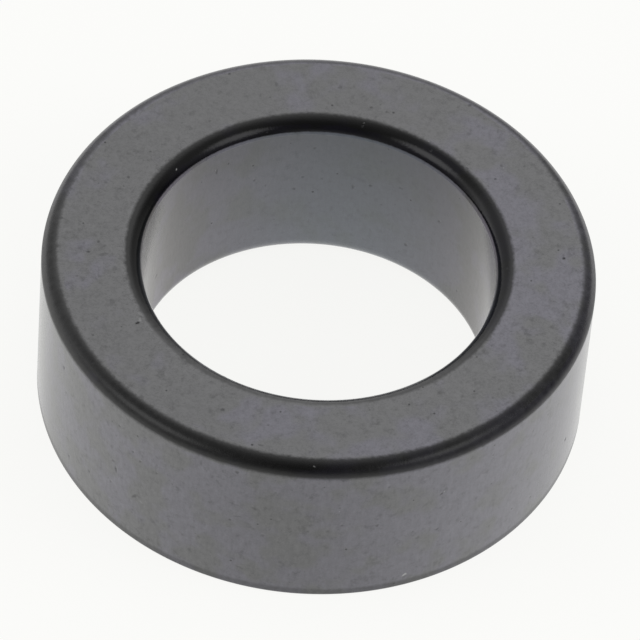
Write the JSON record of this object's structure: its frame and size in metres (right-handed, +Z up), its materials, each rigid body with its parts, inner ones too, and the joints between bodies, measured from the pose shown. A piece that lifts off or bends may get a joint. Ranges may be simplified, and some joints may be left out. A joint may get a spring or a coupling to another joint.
{
  "type": "ferrite ring core",
  "caption": "Bare sintered ferrite ring (toroid) with rounded edges; wire is wound through its bore to make an inductor, transformer or choke, or a cable is passed through it.",
  "frame": {"origin": "middle of the lower face, on the axis of the bore", "axes": "+Z up along the axis of the bore; the ring is a body of revolution, so X and Y are any two directions across it"},
  "size_m": [0.0355, 0.0354, 0.0124],
  "materials": {
    "ferrite": "uncoated sintered ferrite, dark grey satin faces with blacker, smoother tumbled edges"
  },
  "bodies": {
    "root": {"ring_core": "ferrite"}
  },
  "joints": []
}
